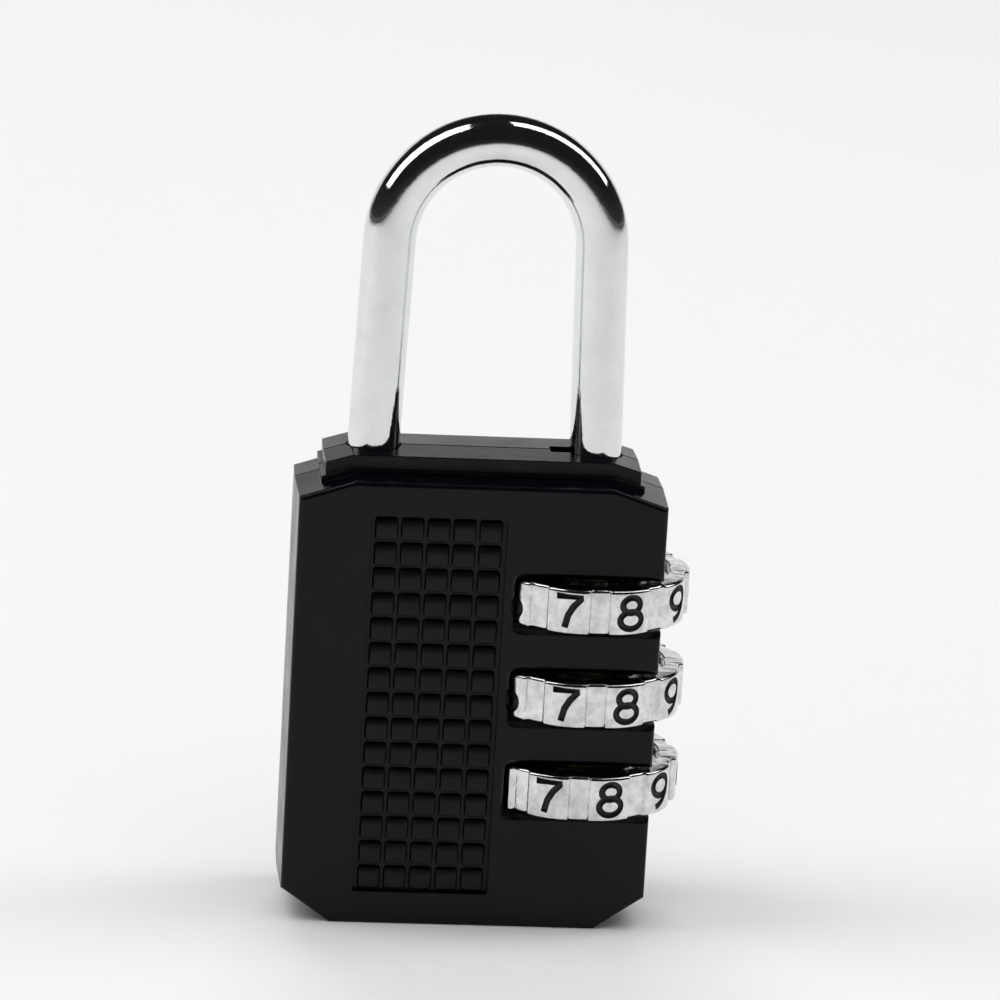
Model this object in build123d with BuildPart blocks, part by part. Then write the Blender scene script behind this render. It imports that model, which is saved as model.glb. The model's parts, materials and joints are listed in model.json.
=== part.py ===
from build123d import *
import os
from math import cos, radians, sin, tan

# Combination padlock with three dials, millimetres, +Z up, shackle on top.
# The origin is the middle of the flat bottom face, on the seam between the two
# halves of the case. The front of the lock faces -Y and the dials are at +X.

# ---- case -------------------------------------------------------------------
case_width = 24.0
case_height = 29.9
shell_depth = 4.9            # each half, from the seam to its outer face
draft = 1.2                  # degrees, casting draft of the outer walls
base_trim = 0.15             # cut off below, so that the drafted case stands on a flat face
seam_groove = 0.09           # bevel of each half along the seam
edge_round = 0.3
lip_flare = 0.35             # bevel of the windows' lips
rear_bevel = 1.9             # wide bevel round the back face
top_corner = (3.6, 1.2)      # chamfer of the octagonal outline: along X, along Z
bottom_corner = (3.3, 2.3)
collar_width = 20.5
collar_height = 1.2
collar_depth = 2.9           # each half
collar_corner = (1.8, 0.55)
collar_foot = (0.2, 0.25)    # step where the collar meets the shoulder: out, up

# ---- grid panel on the front ------------------------------------------------
cell_pitch = 1.684
grid_columns = 5
grid_rows = 15
grid_center = (-2.83, 14.87)  # X, Z
grid_frame = (8.85, 25.4)
grid_recess = 0.42
pillow_size = (1.52, 1.56)
pillow_draft = 16            # degrees, slope of its sides
pillow_corner = 0.27
pillow_height = 0.36
pillow_dome = 2.6            # radius of the pillow's crowned top

# ---- dials and their sleeves ------------------------------------------------
axis_x = 7.4                 # the dials, the sleeves and the shackle's long leg share it
dial_names = ("bottom", "middle", "top")
dial_pitch = 6.3
lowest_dial = 9.41           # height of the lowest dial's middle
dial_levels = [lowest_dial + dial_pitch * i for i in range(3)]
dial_turns = (-75.0, -68.5, -69.5)  # degrees from +X to the middle of a land, as the dials stand
dial_radius = 6.7
dial_height = 2.96
digit_count = 10
flute_angle = 12.0           # degrees, mouth of the groove between two number lands
flute_depth = 0.35
flute_side = 65               # degrees, slope of the groove's sides
dial_rim = 1.3               # radial width of the rim round the recessed web
web_recess = 0.45
dial_hub = 4.4               # radius of the raised hub round the bore
window_height = 3.4
window_left = 2.35           # X of the windows' closed end
window_corner = 0.5
dial_clearance = 0.25        # radial, between a dial and its pocket

sleeve_radius = 3.9
sleeve_gap = 0.05            # between neighbouring sleeves
sleeve_length = dial_pitch - sleeve_gap
sleeve_fit = 0.05            # radial, dial on sleeve
sleeve_clearance = 0.2       # radial, sleeve in the case
spline_count = 10            # one for each digit that can be set
spline_size = (0.9, 0.4)     # width, depth
chamber_radius = 3.1         # room under each sleeve's web in which a fin can turn
chamber_depth = 3.1
keyway_width = 1.5

# ---- shackle ----------------------------------------------------------------
rod_radius = 1.7
rod_fit = 0.1
leg_spacing = 14.4
toe_x = axis_x - leg_spacing
arch_level = 44.55           # height of the arch's centre
splay = 1.6                  # degrees, lean of the legs above the case
bend_radius = 30.0           # of the gentle bend where the lean begins
straight_top = 31.6
heel_end = 4.2
toe_depth = 5.0              # of the short leg in its socket
rod_end_chamfer = 0.4
fin_reach = 2.9              # from the leg's axis
fin_width = 1.2
fin_height = 1.6
fin_rise = 1.2               # above the lower end of its sleeve
lift = dial_pitch            # shackle travel from locked to open

# ---- springs, balls, rivets -------------------------------------------------
washer_radius = 3.7
washer_bore = 2.0
washer_thickness = 0.4
reset_coil = 2.95            # mean radius
reset_wire = 0.28
reset_turns = 3
reset_floor = 2.6
detent_angle = 200.0         # degrees from +X, where each ball meets its dial
detent_gap = 0.08            # between the ball's tip and the dial's lands
ball_radius = 0.6
ball_bore = 0.66
detent_coil = 0.42
detent_wire = 0.11
detent_length = 1.7
detent_turns = 5
rivet_spots = {
    "lower_left": (-8.2, 5.0),
    "upper_left": (-8.2, 22.6),
    "lower_right": (1.0, 3.8),
    "upper_right": (1.0, 26.2),
}
rivet_radius = 0.75
rivet_head = 1.35
rivet_head_depth = 0.5
rivet_length = 7.6           # from the back face
rivet_fit = 0.02

slack = 0.05
collar_top = case_height + collar_height
sleeve_floors = [level - dial_pitch / 2 + sleeve_gap for level in dial_levels]
stack_floor = sleeve_floors[0]
stack_top = sleeve_floors[-1] + sleeve_length
fin_levels = [floor + fin_rise for floor in sleeve_floors]
fin_stop = fin_levels[-1] + fin_height + lift + slack


def octagon(width, low, high, low_corner, high_corner):
    """Outline with four chamfered corners; corner sizes are (along X, along Z)."""
    half = width / 2
    right = [
        (half - low_corner[0], low),
        (half, low + low_corner[1]),
        (half, high - high_corner[1]),
        (half - high_corner[0], high),
    ]
    left = [(-x, z) for x, z in reversed(right)]
    with BuildLine() as edge:
        Polyline(*right, *left, close=True)
    return edge.line


def half_case(bevel=0):
    """One half of the case on the -Y side of the seam, with its working cavities."""
    with BuildPart() as half:
        with BuildSketch(Plane.XZ):
            add(octagon(case_width, -base_trim, case_height, bottom_corner, top_corner))
            make_face()
        extrude(amount=shell_depth, taper=draft)
        front = half.faces().sort_by(Axis.Y)[0]
        if bevel:
            chamfer(front.edges(), bevel)
        else:
            fillet(front.edges(), edge_round)
        split(bisect_by=Plane.XY, keep=Keep.TOP)

        foot_width = collar_width + 2 * collar_foot[0]
        with BuildSketch(Plane.XZ):
            add(octagon(foot_width, case_height - 2, case_height + collar_foot[1], (0.1, 0.1), collar_corner))
            make_face()
        extrude(amount=collar_depth + collar_foot[0])
        with BuildSketch(Plane.XZ):
            add(octagon(collar_width, case_height - 2, collar_top, (0.1, 0.1), collar_corner))
            make_face()
        extrude(amount=collar_depth, taper=draft)
        seam = half.faces().sort_by(Axis.Y)[-1]
        chamfer([edge for edge in seam.edges() if edge.center().Z > slack], seam_groove)

        # A window and a round pocket for each dial.
        for level in dial_levels:
            with BuildSketch(Plane.XZ.offset(-slack)):
                with Locations((window_left + case_width / 2, level)):
                    RectangleRounded(case_width, window_height, window_corner)
            extrude(amount=shell_depth + 1, mode=Mode.SUBTRACT)
            with BuildSketch(Plane.XZ.offset(shell_depth + slack)):
                with Locations((window_left + case_width / 2 - lip_flare, level)):
                    flared_height = window_height + 2 * (lip_flare + slack)
                    RectangleRounded(case_width, flared_height, window_corner + lip_flare)
            extrude(amount=-(lip_flare + slack), taper=45, mode=Mode.SUBTRACT)
            with BuildSketch(Plane.XY.offset(level - window_height / 2)):
                with Locations((axis_x, 0)):
                    Circle(dial_radius + dial_clearance)
            extrude(amount=window_height, mode=Mode.SUBTRACT)

        # The shaft bore, stepped: spring well, sleeves, top fin, shackle rod.
        bores = (
            (reset_floor, stack_top + slack, sleeve_radius + sleeve_clearance),
            (stack_top, fin_stop, chamber_radius),
            (fin_stop - slack, collar_top + 1, rod_radius + rod_fit),
        )
        for low, high, radius in bores:
            with BuildSketch(Plane.XY.offset(low)):
                with Locations((axis_x, 0)):
                    Circle(radius)
            extrude(amount=high - low, mode=Mode.SUBTRACT)

        # Blind socket for the short leg.
        with BuildSketch(Plane.XY.offset(collar_top - toe_depth - 0.3)):
            with Locations((toe_x, 0)):
                Circle(rod_radius + rod_fit)
        extrude(amount=toe_depth + 1, mode=Mode.SUBTRACT)

        # Small slot in the collar beside the long leg.
        with BuildSketch(Plane.XY.offset(collar_top - 1.6)):
            with Locations((axis_x - fin_reach / 2, 0)):
                Rectangle(fin_reach + 0.1, fin_width + 0.2)
        extrude(amount=3, mode=Mode.SUBTRACT)
    return half.part


def rivet_hole_radius():
    return rivet_radius + rivet_fit


# ---- front half of the case -------------------------------------------------
with BuildPart(mode=Mode.PRIVATE) as pillow:
    with BuildSketch(Plane.XZ.offset(shell_depth - grid_recess - 0.1)):
        RectangleRounded(*pillow_size, pillow_corner)
    extrude(amount=pillow_height + 0.1, taper=pillow_draft)
    crown = shell_depth - grid_recess + pillow_height - pillow_dome
    with Locations((0, -crown, 0)):
        Sphere(pillow_dome, mode=Mode.INTERSECT)

left_column = grid_center[0] - cell_pitch * (grid_columns - 1) / 2
lowest_row = grid_center[1] - cell_pitch * (grid_rows - 1) / 2
pillow_grid = [
    Pos(left_column + cell_pitch * column, 0, lowest_row + cell_pitch * row) * pillow.part
    for column in range(grid_columns)
    for row in range(grid_rows)
]

detent_direction = Vector(cos(radians(detent_angle)), sin(radians(detent_angle)), 0)
ball_distance = dial_radius + detent_gap + ball_radius


def detent_plane(level, distance):
    """Plane across a ball's bore, facing away from the dial."""
    origin = Vector(axis_x, 0, level) + detent_direction * distance
    return Plane(origin=origin, x_dir=(0, 0, 1), z_dir=detent_direction)


with BuildPart() as front_shell:
    add(half_case())
    with BuildSketch(Plane.XZ.offset(shell_depth - grid_recess)):
        with Locations(grid_center):
            RectangleRounded(*grid_frame, 0.2)
    extrude(amount=1, mode=Mode.SUBTRACT)
    add(pillow_grid)
    for level in dial_levels:
        with BuildSketch(detent_plane(level, dial_radius - 0.5)):
            Circle(ball_bore)
        bore_length = 0.5 + detent_gap + 2 * ball_radius + detent_length + 0.05
        extrude(amount=bore_length, mode=Mode.SUBTRACT)
    for x, z in rivet_spots.values():
        with BuildSketch(Plane.XZ.offset(-slack)):
            with Locations((x, z)):
                Circle(rivet_hole_radius())
        extrude(amount=rivet_length - shell_depth + slack + 0.1, mode=Mode.SUBTRACT)

# ---- rear half of the case --------------------------------------------------
with BuildPart() as rear_shell:
    add(mirror(half_case(rear_bevel), about=Plane.XZ))
    for x, z in rivet_spots.values():
        with BuildSketch(Plane.XZ.offset(slack)):
            with Locations((x, z)):
                Circle(rivet_hole_radius())
        extrude(amount=-(shell_depth + 1), mode=Mode.SUBTRACT)
        with BuildSketch(Plane.XZ.offset(rivet_head_depth - shell_depth)):
            with Locations((x, z)):
                Circle(rivet_head + rivet_fit)
        extrude(amount=-2, mode=Mode.SUBTRACT)

# ---- shackle ----------------------------------------------------------------
# Vertical legs, a gentle bend, straight leaning runs, and a round arch on top.
arch_x = (axis_x + toe_x) / 2
lean = radians(splay)
bend_top = straight_top + bend_radius * sin(lean)
drift = (arch_level - bend_top) * tan(lean) + bend_radius * (1 - cos(lean))
arch_radius = (leg_spacing / 2 - drift) * cos(lean)
bend_inset = bend_radius * (1 - cos(lean))
toe_end = collar_top - toe_depth


def shackle_side(side, foot):
    """Points of one leg from its foot to the start of the arch; side is +1 or -1."""
    reach = leg_spacing / 2
    return [
        (arch_x + side * reach, foot),
        (arch_x + side * reach, straight_top),
        (arch_x + side * (reach - bend_inset), bend_top),
        (arch_x + side * arch_radius * cos(lean), arch_level + arch_radius * sin(lean)),
    ]


heel_points = shackle_side(1, heel_end)
toe_points = shackle_side(-1, toe_end)
with BuildPart() as shackle:
    with BuildLine(Plane.XZ) as rod_path:
        Line(heel_points[0], heel_points[1])
        TangentArc(heel_points[1], heel_points[2], tangent=(0, 1))
        Line(heel_points[2], heel_points[3])
        ThreePointArc(heel_points[3], (arch_x, arch_level + arch_radius), toe_points[3])
        Line(toe_points[3], toe_points[2])
        TangentArc(toe_points[2], toe_points[1], tangent=(-sin(lean), -cos(lean)))
        Line(toe_points[1], toe_points[0])
    with BuildSketch(Plane((heel_points[0][0], 0, heel_end))):
        Circle(rod_radius)
    sweep()
    ends = shackle.faces().filter_by(Axis.Z)
    chamfer(ends.edges(), rod_end_chamfer)
    # Three fins on the long leg, one under the web of each sleeve.
    for level in fin_levels:
        with BuildSketch(Plane.XY.offset(level)):
            with Locations((axis_x - fin_reach / 2, 0)):
                Rectangle(fin_reach, fin_width)
        extrude(amount=fin_height)

# ---- dials and sleeves ------------------------------------------------------
def splined_disc(radius, width, depth, turn):
    """Round profile with rectangular grooves cut into its edge."""
    with BuildSketch() as disc:
        Circle(radius)
        with PolarLocations(radius - depth / 2 + 0.5, spline_count, start_angle=turn):
            Rectangle(depth + 1, width, mode=Mode.SUBTRACT)
    return disc.sketch


def make_dial(level, turn):
    """Dial with ten convex number lands between grooves, rims, web and splined bore."""
    step = 360 / digit_count
    lower_face = Plane(origin=(axis_x, 0, level - dial_height / 2))
    mouth = 2 * dial_radius * sin(radians(flute_angle / 2))
    spline_width, spline_depth = spline_size
    with BuildPart() as dial:
        with BuildSketch(lower_face):
            Circle(dial_radius)
            with PolarLocations(dial_radius, digit_count, start_angle=turn + step / 2):
                Trapezoid(mouth, 2 * flute_depth, flute_side, rotation=90, mode=Mode.SUBTRACT)
            add(splined_disc(sleeve_radius + sleeve_fit, spline_width, spline_depth, turn), mode=Mode.SUBTRACT)
        extrude(amount=dial_height)
        for face_level, direction in ((0, 1), (dial_height, -1)):
            with BuildSketch(lower_face.offset(face_level)):
                Circle(dial_radius - dial_rim)
                Circle(dial_hub, mode=Mode.SUBTRACT)
            extrude(amount=direction * web_recess, mode=Mode.SUBTRACT)
    return dial.part


def make_sleeve(floor, turn):
    """Sleeve inside a dial: keyed web on top, room for a fin to turn below it."""
    lower_face = Plane(origin=(axis_x, 0, floor))
    groove_width = spline_size[0] + 2 * slack
    groove_depth = spline_size[1] + slack
    with BuildPart() as sleeve:
        with BuildSketch(lower_face):
            add(splined_disc(sleeve_radius, groove_width, groove_depth, turn))
            Circle(rod_radius + rod_fit, mode=Mode.SUBTRACT)
            keyway_length = fin_reach + 3 * slack
            with Locations((-keyway_length / 2, 0)):
                Rectangle(keyway_length, keyway_width, mode=Mode.SUBTRACT)
        extrude(amount=sleeve_length)
        with BuildSketch(lower_face):
            Circle(chamber_radius)
        extrude(amount=chamber_depth, mode=Mode.SUBTRACT)
    return sleeve.part


# ---- spring, washer, detents, rivets ----------------------------------------
def coil(mean_radius, wire_radius, turns, length, base):
    """Open compression spring standing on the plane called base."""
    rise = length - 2 * wire_radius
    with BuildPart() as spring:
        with BuildLine():
            path = Helix(rise / turns, rise, mean_radius)
        with BuildSketch(Plane(origin=path @ 0, z_dir=path % 0)):
            Circle(wire_radius)
        sweep(path=path, is_frenet=True)
    return base.offset(wire_radius).location * spring.part


washer_floor = stack_floor - slack - washer_thickness
with BuildPart() as spring_washer:
    with BuildSketch(Plane((axis_x, 0, washer_floor))):
        Circle(washer_radius)
        Circle(washer_bore, mode=Mode.SUBTRACT)
    extrude(amount=washer_thickness)

reset_base = Plane((axis_x, 0, reset_floor))
reset_spring = coil(reset_coil, reset_wire, reset_turns, washer_floor - reset_floor, reset_base)


def make_ball(level):
    with BuildPart() as ball:
        with Locations(detent_plane(level, ball_distance).origin):
            Sphere(ball_radius)
    return ball.part


def make_rivet(x, z):
    with BuildPart() as rivet:
        with BuildSketch(Plane.XZ.offset(-shell_depth)):
            with Locations((x, z)):
                Circle(rivet_head)
        extrude(amount=rivet_head_depth)
        with BuildSketch(Plane.XZ.offset(-shell_depth)):
            with Locations((x, z)):
                Circle(rivet_radius)
        extrude(amount=rivet_length)
    return rivet.part


# ---- the finished pieces ----------------------------------------------------
pieces = {
    "front_shell": front_shell.part,
    "rear_shell": rear_shell.part,
    "shackle": shackle.part,
    "spring_washer": spring_washer.part,
    "reset_spring": reset_spring,
}
for name, level, turn, floor in zip(dial_names, dial_levels, dial_turns, sleeve_floors):
    pieces["dial_" + name] = make_dial(level, turn)
    pieces["sleeve_" + name] = make_sleeve(floor, turn)
    pieces["detent_ball_" + name] = make_ball(level)
    spring_base = detent_plane(level, ball_distance + ball_radius)
    pieces["detent_spring_" + name] = coil(detent_coil, detent_wire, detent_turns, detent_length, spring_base)
for corner, (x, z) in rivet_spots.items():
    pieces["rivet_" + corner] = make_rivet(x, z)

os.makedirs("parts", exist_ok=True)
for label, piece in pieces.items():
    piece.label = label
    export_step(piece, "parts/" + label + ".step")
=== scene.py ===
import json
import math

import bpy
import bmesh
from mathutils import Matrix, Vector


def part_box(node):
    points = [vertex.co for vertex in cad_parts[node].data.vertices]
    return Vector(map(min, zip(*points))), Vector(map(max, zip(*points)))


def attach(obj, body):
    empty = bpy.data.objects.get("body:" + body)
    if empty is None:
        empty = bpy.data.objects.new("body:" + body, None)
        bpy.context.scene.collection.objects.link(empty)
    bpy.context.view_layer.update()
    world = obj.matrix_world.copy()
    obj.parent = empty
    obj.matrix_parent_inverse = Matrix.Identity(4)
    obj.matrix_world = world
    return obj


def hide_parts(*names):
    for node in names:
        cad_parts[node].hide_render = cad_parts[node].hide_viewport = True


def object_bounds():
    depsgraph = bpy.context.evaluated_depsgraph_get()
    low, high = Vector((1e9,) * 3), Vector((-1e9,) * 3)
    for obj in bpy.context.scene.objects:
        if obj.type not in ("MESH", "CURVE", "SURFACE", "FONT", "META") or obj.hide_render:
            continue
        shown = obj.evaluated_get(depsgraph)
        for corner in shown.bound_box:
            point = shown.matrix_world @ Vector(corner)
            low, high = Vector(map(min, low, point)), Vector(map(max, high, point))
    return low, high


# Looks of the three-dial combination padlock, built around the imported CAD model, in metres.
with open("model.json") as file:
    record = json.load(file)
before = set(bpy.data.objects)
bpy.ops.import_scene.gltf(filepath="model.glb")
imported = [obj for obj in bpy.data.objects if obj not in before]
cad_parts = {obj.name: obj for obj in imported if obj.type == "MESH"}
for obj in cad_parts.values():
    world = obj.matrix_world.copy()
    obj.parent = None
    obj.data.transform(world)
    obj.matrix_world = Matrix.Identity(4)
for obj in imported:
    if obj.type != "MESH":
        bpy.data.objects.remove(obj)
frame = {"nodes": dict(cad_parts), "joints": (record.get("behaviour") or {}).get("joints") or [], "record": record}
cad_low, cad_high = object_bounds()

MM = 0.001

# Camera: it stands a little to the left of the lock's front and looks down on it,
# turned slightly about its own line of sight, through a long lens.
CAMERA_AZIMUTH = math.radians(-5.13)
CAMERA_ELEVATION = math.radians(15.36)
CAMERA_ROLL = math.radians(3.29)
CAMERA_DISTANCE = 389.2 * MM
CAMERA_LENS = 215.7
AIM_RIGHT_OF_CASE = 1.4 * MM
AIM_SHARE_OF_HEIGHT = 0.519

# Soft panels that light the floor and don't show in the metal:
# name, place, aim, width, length, power in watts.
SOFT_PANELS = (
    ("overhead_panel", (0, -0.2, 0.95), (0, 0.05, 0), 1.3, 1.3, 6.0),
    ("backdrop_panel", (-0.1, 1.2, 0.7), (0, 0.55, 0), 1.0, 0.5, 8.5),
)
# Strip lights: name, direction from the lock, width, length, power in watts.
STRIP_DISTANCE = 0.7
STRIPS = (
    ("strip_left", (-0.67, 0.0, 0.74), 0.34, 0.74, 2.2),
    ("strip_right", (0.62, 0.10, 0.77), 0.25, 0.80, 1.5),
)


# ---- small helpers for node materials -----------------------------------------
def new_material(name):
    """An empty Principled material; returns it with its tree and its shader."""
    material = bpy.data.materials.new(name)
    material.use_nodes = True
    tree = material.node_tree
    return material, tree, tree.nodes["Principled BSDF"]


def noise(tree, scale, detail=3.0, roughness=0.5, stretch=(1, 1, 1)):
    """Noise over object space; returns its factor output."""
    place = tree.nodes.new("ShaderNodeTexCoord")
    mapping = tree.nodes.new("ShaderNodeMapping")
    mapping.inputs["Scale"].default_value = stretch
    texture = tree.nodes.new("ShaderNodeTexNoise")
    texture.inputs["Scale"].default_value = scale
    texture.inputs["Detail"].default_value = detail
    texture.inputs["Roughness"].default_value = roughness
    tree.links.new(place.outputs["Object"], mapping.inputs["Vector"])
    tree.links.new(mapping.outputs["Vector"], texture.inputs["Vector"])
    return texture.outputs["Fac"]


def ramp(tree, factor, stops, color=False):
    """Colour ramp through (position, value or colour) stops."""
    node = tree.nodes.new("ShaderNodeValToRGB")
    elements = node.color_ramp.elements
    while len(elements) < len(stops):
        elements.new(0.5)
    for element, (position, value) in zip(elements, stops):
        element.position = position
        element.color = value if color else (value, value, value, 1)
    tree.links.new(factor, node.inputs["Fac"])
    return node.outputs["Color"]


def bump(tree, height, distance, strength=1.0, normal=None):
    node = tree.nodes.new("ShaderNodeBump")
    node.inputs["Distance"].default_value = distance
    node.inputs["Strength"].default_value = strength
    tree.links.new(height, node.inputs["Height"])
    if normal is not None:
        tree.links.new(normal, node.inputs["Normal"])
    return node.outputs["Normal"]


def soft_edges(tree, radius):
    node = tree.nodes.new("ShaderNodeBevel")
    node.samples = 6
    node.inputs["Radius"].default_value = radius
    return node.outputs["Normal"]


# ---- materials ------------------------------------------------------------------
def black_paint():
    """Satin black paint over a die casting: fine grain, faint unevenness in gloss."""
    material, tree, shader = new_material("black_paint")
    dark, light = (0.0015, 0.0017, 0.0030, 1), (0.0028, 0.0031, 0.0052, 1)
    tone = ramp(tree, noise(tree, 900, 4), [(0.35, dark), (0.7, light)], True)
    gloss = ramp(tree, noise(tree, 350, 4), [(0.3, 0.20), (0.7, 0.29)])
    grain = bump(tree, noise(tree, 5200, 2), 0.010 * MM, 0.5, soft_edges(tree, 0.12 * MM))
    tree.links.new(tone, shader.inputs["Base Color"])
    tree.links.new(gloss, shader.inputs["Roughness"])
    tree.links.new(grain, shader.inputs["Normal"])
    shader.inputs["Specular IOR Level"].default_value = 0.19
    return material


def chrome(name, dark, light, tone_scale, low_gloss, high_gloss, ripple_scale, ripple_depth):
    """Bright chrome plate on polished or cast metal, mottled, with a ripple and a fine grain."""
    material, tree, shader = new_material(name)
    shader.inputs["Metallic"].default_value = 1.0
    tone = ramp(tree, noise(tree, tone_scale, 5, 0.7), [(0.3, dark), (0.7, light)], True)
    gloss = ramp(tree, noise(tree, 1400, 4), [(0.35, low_gloss), (0.75, high_gloss)])
    ripple = bump(tree, noise(tree, ripple_scale, 3), ripple_depth, 0.5)
    grain = bump(tree, noise(tree, 4500, 2), 0.005 * MM, 0.6, ripple)
    tree.links.new(tone, shader.inputs["Base Color"])
    tree.links.new(gloss, shader.inputs["Roughness"])
    tree.links.new(grain, shader.inputs["Normal"])
    return material


def turned_metal(name, dark, light, low_gloss, high_gloss):
    """Unplated turned metal: fine rings and slight staining."""
    material, tree, shader = new_material(name)
    shader.inputs["Metallic"].default_value = 1.0
    tone = ramp(tree, noise(tree, 700, 5), [(0.3, dark), (0.7, light)], True)
    gloss = ramp(tree, noise(tree, 900, 3, stretch=(0.2, 0.2, 8)), [(0.3, low_gloss), (0.7, high_gloss)])
    lines = bump(tree, noise(tree, 2500, 2, stretch=(0.15, 0.15, 6)), 0.006 * MM, 0.5)
    tree.links.new(tone, shader.inputs["Base Color"])
    tree.links.new(gloss, shader.inputs["Roughness"])
    tree.links.new(lines, shader.inputs["Normal"])
    return material


def digit_paint():
    """Matt black enamel in the engraved digits."""
    material, tree, shader = new_material("digit_paint")
    dark, light = (0.006, 0.006, 0.007, 1), (0.013, 0.013, 0.014, 1)
    tone = ramp(tree, noise(tree, 3000, 3), [(0.3, dark), (0.7, light)], True)
    gloss = ramp(tree, noise(tree, 2000, 2), [(0.3, 0.45), (0.7, 0.6)])
    tree.links.new(tone, shader.inputs["Base Color"])
    tree.links.new(gloss, shader.inputs["Roughness"])
    return material


MATERIALS = {
    "black_paint": black_paint(),
    "chrome": chrome(
        "chrome", (0.70, 0.71, 0.72, 1), (0.80, 0.81, 0.82, 1), tone_scale=500,
        low_gloss=0.05, high_gloss=0.11, ripple_scale=700, ripple_depth=0.014 * MM,
    ),
    "brass": turned_metal("brass", (0.60, 0.42, 0.18, 1), (0.75, 0.56, 0.27, 1), 0.22, 0.38),
    "steel": turned_metal("steel", (0.42, 0.42, 0.43, 1), (0.60, 0.60, 0.61, 1), 0.2, 0.35),
}
DIGIT_PAINT = digit_paint()
CAST_CHROME = chrome(
    "cast_chrome", (0.50, 0.50, 0.51, 1), (0.87, 0.87, 0.87, 1), tone_scale=1300,
    low_gloss=0.07, high_gloss=0.20, ripple_scale=1000, ripple_depth=0.09 * MM,
)


def paint_cad_nodes():
    """Every CAD node takes the material of its slot in the record."""
    slots = {entry["node"]: entry["material_slot"] for entry in frame["record"]["subparts"]}
    for name, node in frame["nodes"].items():
        node.data.materials.clear()
        node.data.materials.append(MATERIALS[slots[name]])


paint_cad_nodes()


# ---- dials ------------------------------------------------------------------------
# Each dial is one ring of ten number lands. An angle in degrees is measured from the
# middle of a land, or from +X round the dial's axis.
DIGIT_COUNT = 10
LAND_STEP = 360 / DIGIT_COUNT
MARKED_DIGIT = 8
DIAL_TURNS = {"dial_bottom": -75.0, "dial_middle": -68.5, "dial_top": -69.5}  # where the 8 stands
LAND_HALF = 11.6
FLUTE_HALF = 4.9
FLUTE_DEPTH = 0.33 * MM
LAND_CROWN = 0.09 * MM
RIM_ROUND = 0.2 * MM
RIM_INNER = 5.4 * MM
HUB_OUTER = 4.4 * MM
BORE = 3.95 * MM
WEB_RECESS = 0.45 * MM
DIGIT_HALF_HEIGHT = 1.04 * MM
DIGIT_WIDTH = 1.2            # how much wider than tall the strokes' unit is
DIGIT_STROKE = 0.23 * MM     # radius of the round groove
CREASE_ANGLE = 38            # degrees; sharper edges are shaded sharp


def arc(center, radii, start, end, steps=14):
    """Points of an elliptical arc, angles in degrees."""
    points = []
    for i in range(steps + 1):
        angle = math.radians(start + (end - start) * i / steps)
        points.append((center[0] + radii[0] * math.cos(angle), center[1] + radii[1] * math.sin(angle)))
    return points


def half_turned(strokes):
    return [[(-x, -y) for x, y in stroke] for stroke in strokes]


SIX = [
    arc((0, -0.36), (0.62, 0.64), 180, -180, 24),
    [*arc((0.6, -0.36), (1.22, 1.36), 180, 101, 12)],
]
# Strokes of the digits; the digit stands between -1 and 1 in height.
DIGITS = {
    0: [arc((0, 0), (0.62, 1.0), 90, 450, 30)],
    1: [[(-0.42, 0.55), (-0.1, 0.72), (0.12, 1.0), (0.12, -1.0)]],
    2: [[*arc((0, 0.42), (0.6, 0.58), 170, -30, 14), (-0.62, -0.82), (-0.62, -1.0), (0.66, -1.0)]],
    3: [[*arc((-0.02, 0.5), (0.52, 0.5), 165, -90, 14)], [*arc((0, -0.46), (0.6, 0.54), 95, -165, 16)]],
    4: [[(0.3, -1.0), (0.3, 1.0), (-0.68, -0.42), (0.68, -0.42)]],
    5: [[(0.56, 1.0), (-0.4, 1.0), (-0.52, 0.06), *arc((0, -0.34), (0.62, 0.66), 140, -160, 16)]],
    6: SIX,
    7: [[(-0.64, 1.0), (0.64, 1.0), (0.64, 0.86), (0.3, 0.42), (0.02, -0.18), (-0.14, -1.0)]],
    8: [arc((0, 0.51), (0.49, 0.49), 90, 450, 24), arc((0, -0.45), (0.6, 0.55), 90, 450, 24)],
    9: half_turned(SIX),
}


def land_radius(radius, angle):
    """Distance of the dial's outside from its axis at an angle from a land's middle."""
    offset = abs((angle + LAND_STEP / 2) % LAND_STEP - LAND_STEP / 2)
    crowned = radius - LAND_CROWN * (offset / LAND_HALF) ** 2
    floor = radius - FLUTE_DEPTH
    fall = min(max((offset - LAND_HALF) / (LAND_STEP / 2 - FLUTE_HALF - LAND_HALF), 0), 1)
    eased = fall * fall * (3 - 2 * fall)
    return crowned * (1 - eased) + floor * eased


def land_angles():
    """Sample angles round the dial, close together at the edges of the grooves."""
    edge = [LAND_HALF + (LAND_STEP / 2 - FLUTE_HALF - LAND_HALF) * i / 6 for i in range(7)]
    half = [0, 2, 4, 6, 8, 10, 11, *edge, 14.5, 16.5]
    local = [-a for a in reversed(half[1:])] + half + [LAND_STEP / 2]
    return [step * LAND_STEP + a for step in range(DIGIT_COUNT) for a in local]


def dial_section(height):
    """Closed section of a dial as (follows the lands, radius or inset, height)."""
    corner = [(RIM_ROUND * (1 - math.sin(math.radians(a))), RIM_ROUND * (1 - math.cos(math.radians(a))))
              for a in (0, 22.5, 45, 67.5, 90)]
    lower = [(True, inset, rise) for inset, rise in corner]
    upper = [(True, inset, height - rise) for inset, rise in reversed(corner)]
    soft = RIM_ROUND / 3
    top = [
        (False, RIM_INNER + soft, height),
        (False, RIM_INNER, height - soft),
        (False, RIM_INNER, height - WEB_RECESS),
        (False, HUB_OUTER, height - WEB_RECESS),
        (False, HUB_OUTER, height - soft),
        (False, HUB_OUTER - soft, height),
        (False, BORE, height),
    ]
    bottom = [(False, radius, height - level) for _, radius, level in reversed(top)]
    return lower + upper + top + bottom


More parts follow.
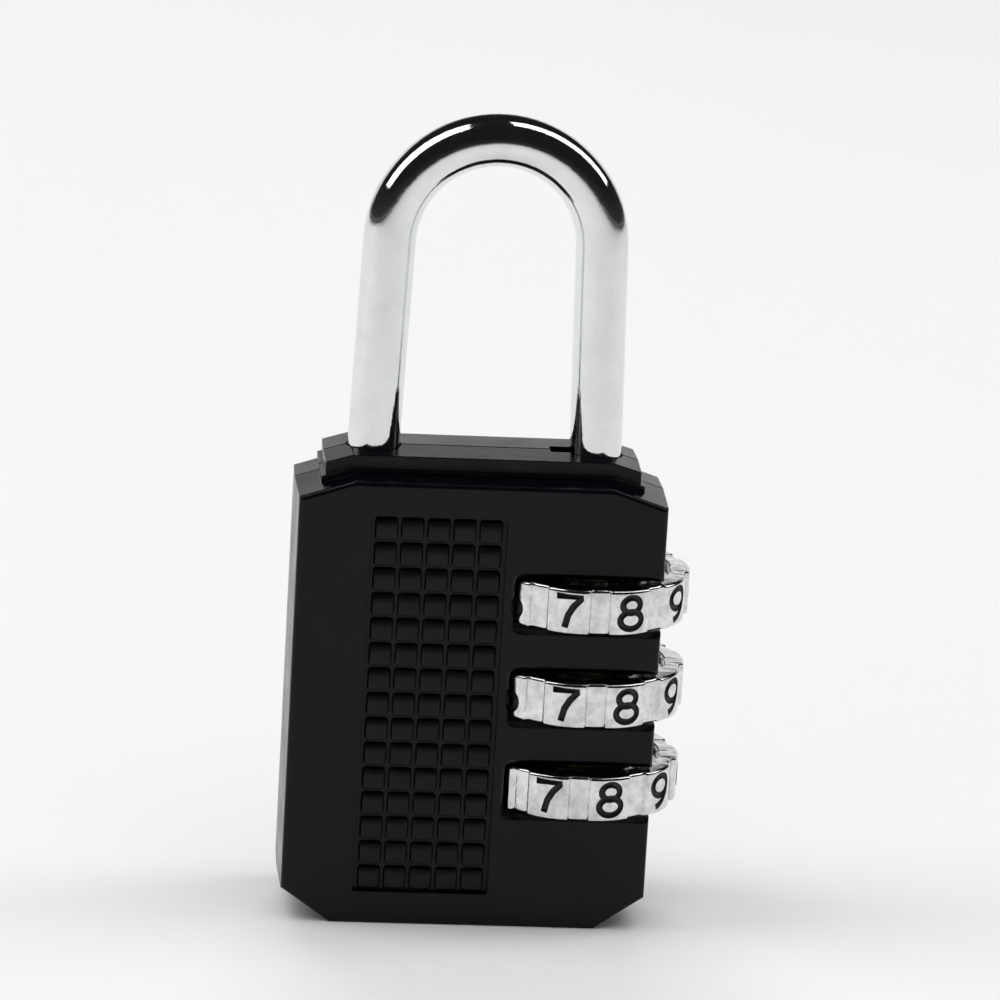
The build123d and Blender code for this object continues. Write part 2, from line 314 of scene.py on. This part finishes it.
def mesh_object(name, points, faces):
    mesh = bpy.data.meshes.new(name)
    mesh.from_pydata(points, [], faces)
    piece = bpy.data.objects.new(name, mesh)
    bpy.context.scene.collection.objects.link(piece)
    return piece


def plain_dial(radius, height):
    """Dial without its digits, standing on Z = 0, with a land's middle at +X."""
    section, angles = dial_section(height), land_angles()
    points = []
    for angle in angles:
        outside = land_radius(radius, angle)
        for follows, size, level in section:
            reach = outside - size if follows else size
            turn = math.radians(angle)
            points.append((reach * math.cos(turn), reach * math.sin(turn), level))
    rows, columns = len(angles), len(section)
    faces = []
    for row in range(rows):
        following = (row + 1) % rows
        for column in range(columns):
            across = (column + 1) % columns
            faces.append((row * columns + column, following * columns + column,
                          following * columns + across, row * columns + across))
    return mesh_object("dial_blank", points, faces)


def digit_cutter(radius, height):
    """Round-bottomed grooves of all ten digits, wrapped round the dial."""
    curve = bpy.data.curves.new("digit_grooves", "CURVE")
    curve.dimensions = "3D"
    curve.bevel_depth = DIGIT_STROKE
    curve.bevel_resolution = 3
    curve.use_fill_caps = True
    for digit, strokes in DIGITS.items():
        middle = LAND_STEP * (digit - MARKED_DIGIT)
        for stroke in strokes:
            closed = math.dist(stroke[0], stroke[-1]) < 1e-6
            points = stroke[:-1] if closed else stroke
            spline = curve.splines.new("POLY")
            spline.points.add(len(points) - 1)
            spline.use_cyclic_u = closed
            for point, (x, y) in zip(spline.points, points):
                offset = math.degrees(x * DIGIT_WIDTH * DIGIT_HALF_HEIGHT / radius)
                turn = math.radians(middle + offset)
                reach = land_radius(radius, offset) - 0.01 * MM
                level = height / 2 + y * DIGIT_HALF_HEIGHT
                point.co = (reach * math.cos(turn), reach * math.sin(turn), level, 1)
    source = bpy.data.objects.new("digit_grooves", curve)
    bpy.context.scene.collection.objects.link(source)
    shape = applied(source)
    bpy.data.objects.remove(source)
    cutter = bpy.data.objects.new("digit_cutter", shape)
    bpy.context.scene.collection.objects.link(cutter)
    return cutter


def give_materials(piece, materials, index=0):
    piece.data.materials.clear()
    for material in materials:
        piece.data.materials.append(material)
    for face in piece.data.polygons:
        face.material_index = index


def applied(piece):
    """The mesh of a piece, or of a curve, with its modifiers and bevel applied."""
    bpy.context.view_layer.update()
    return bpy.data.meshes.new_from_object(piece.evaluated_get(bpy.context.evaluated_depsgraph_get()))


def sharpen(mesh, limit):
    """Smooth shading, broken at edges sharper than limit degrees."""
    working = bmesh.new()
    working.from_mesh(mesh)
    for face in working.faces:
        face.smooth = True
    for edge in working.edges:
        if len(edge.link_faces) == 2:
            edge.smooth = edge.calc_face_angle(0) < math.radians(limit)
    working.to_mesh(mesh)
    working.free()


def make_dials():
    """Three dials with engraved digits: one is cut, and its copies are set at their own angles."""
    joints = {joint["child"]: joint for joint in frame["joints"]}
    low_corner, high_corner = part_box("dial_top")
    height = high_corner.z - low_corner.z
    axis = Vector(joints["dial_top"]["pos_m"])
    radius = max((v.co.xy - axis.xy).length for v in frame["nodes"]["dial_top"].data.vertices)
    both = (CAST_CHROME, DIGIT_PAINT)
    blank = plain_dial(radius, height)
    give_materials(blank, both)
    cutter = digit_cutter(radius, height)
    give_materials(cutter, both, 1)
    cut = blank.modifiers.new("digits", "BOOLEAN")
    cut.object, cut.solver, cut.use_self = cutter, "EXACT", True
    engraved = applied(blank)
    sharpen(engraved, CREASE_ANGLE)
    bpy.data.objects.remove(blank)
    bpy.data.objects.remove(cutter)
    for node, turn in DIAL_TURNS.items():
        mesh = engraved.copy()
        base = Vector((axis.x, axis.y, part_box(node)[0].z))
        mesh.transform(Matrix.Translation(base) @ Matrix.Rotation(math.radians(turn), 4, "Z"))
        piece = bpy.data.objects.new("numbered_" + node, mesh)
        bpy.context.scene.collection.objects.link(piece)
        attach(piece, node)
        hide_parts(node)


make_dials()


# ---- floor, light, camera ---------------------------------------------------------
def make_floor(half_side=3.0):
    """A plain pale floor under the lock."""
    mesh = bpy.data.meshes.new("floor")
    corners = ((-1, -1), (1, -1), (1, 1), (-1, 1))
    level = cad_low.z - 0.02 * MM
    points = [(half_side * x, half_side * y, level) for x, y in corners]
    mesh.from_pydata(points, [], [(0, 1, 2, 3)])
    floor = bpy.data.objects.new("floor", mesh)
    bpy.context.scene.collection.objects.link(floor)
    material, tree, shader = new_material("floor")
    tone = ramp(tree, noise(tree, 6, 2), [(0.2, (0.86, 0.86, 0.86, 1)), (0.8, (0.89, 0.89, 0.89, 1))], True)
    tree.links.new(tone, shader.inputs["Base Color"])
    shader.inputs["Roughness"].default_value = 0.7
    shader.inputs["Specular IOR Level"].default_value = 0.2
    mesh.materials.append(material)


def make_surroundings():
    """A pale band low beyond the lock, and a dark room on every other side."""
    world = bpy.data.worlds.new("surroundings")
    bpy.context.scene.world = world
    world.use_nodes = True
    tree = world.node_tree
    background = tree.nodes["Background"]
    place = tree.nodes.new("ShaderNodeTexCoord")
    split = tree.nodes.new("ShaderNodeSeparateXYZ")
    tree.links.new(place.outputs["Generated"], split.inputs["Vector"])
    ahead = ramp(tree, split.outputs["Z"], [(0.27, 0.90), (0.42, 0.02)])
    behind = ramp(tree, split.outputs["Z"], [(0.0, 0.12), (0.02, 0.03), (0.30, 0.012)])
    side = ramp(tree, split.outputs["Y"], [(0.66, 0.0), (0.84, 1.0)])
    mix = tree.nodes.new("ShaderNodeMix")
    mix.data_type = "RGBA"
    tree.links.new(side, mix.inputs["Factor"])
    tree.links.new(behind, mix.inputs[6])
    tree.links.new(ahead, mix.inputs[7])
    tree.links.new(mix.outputs[2], background.inputs["Color"])
    background.inputs["Strength"].default_value = 1.0


def area_light(name, spot, aim, width, height, power):
    """Rectangular soft light at spot, facing aim."""
    light = bpy.data.lights.new(name, "AREA")
    light.shape = "RECTANGLE"
    light.size, light.size_y, light.energy = width, height, power
    lamp = bpy.data.objects.new(name, light)
    bpy.context.scene.collection.objects.link(lamp)
    lamp.location = spot
    lamp.rotation_euler = (Vector(aim) - Vector(spot)).to_track_quat("-Z", "Y").to_euler()
    return lamp


def make_lights():
    """Long strips that arch over the lock from left and right, and soft panels for the floor."""
    middle = Vector((0, 0, (cad_low.z + cad_high.z) / 2))
    for name, toward, width, length, power in STRIPS:
        area_light(name, middle + Vector(toward).normalized() * STRIP_DISTANCE, middle, width, length, power)
    for name, spot, aim, width, length, power in SOFT_PANELS:
        panel = area_light(name, spot, aim, width, length, power)
        panel.visible_glossy = False


def make_camera():
    """Camera aimed at the middle of the lock from named angles."""
    aim = Vector((AIM_RIGHT_OF_CASE, 0, cad_low.z + AIM_SHARE_OF_HEIGHT * (cad_high.z - cad_low.z)))
    ahead = Vector((
        -math.sin(CAMERA_AZIMUTH) * math.cos(CAMERA_ELEVATION),
        math.cos(CAMERA_AZIMUTH) * math.cos(CAMERA_ELEVATION),
        -math.sin(CAMERA_ELEVATION),
    ))
    level_right = Vector((math.cos(CAMERA_AZIMUTH), math.sin(CAMERA_AZIMUTH), 0))
    right = Matrix.Rotation(-CAMERA_ROLL, 3, ahead) @ level_right
    up = right.cross(ahead)
    data = bpy.data.cameras.new("camera")
    data.lens = CAMERA_LENS
    data.sensor_width = 36.0
    data.clip_start, data.clip_end = 0.01, 20.0
    camera = bpy.data.objects.new("camera", data)
    bpy.context.scene.collection.objects.link(camera)
    turn = Matrix((right, up, -ahead)).transposed().to_4x4()
    camera.matrix_world = Matrix.Translation(aim - ahead * CAMERA_DISTANCE) @ turn
    bpy.context.scene.camera = camera


make_floor()
make_surroundings()
make_lights()
make_camera()
bpy.context.scene.view_settings.view_transform = "Standard"
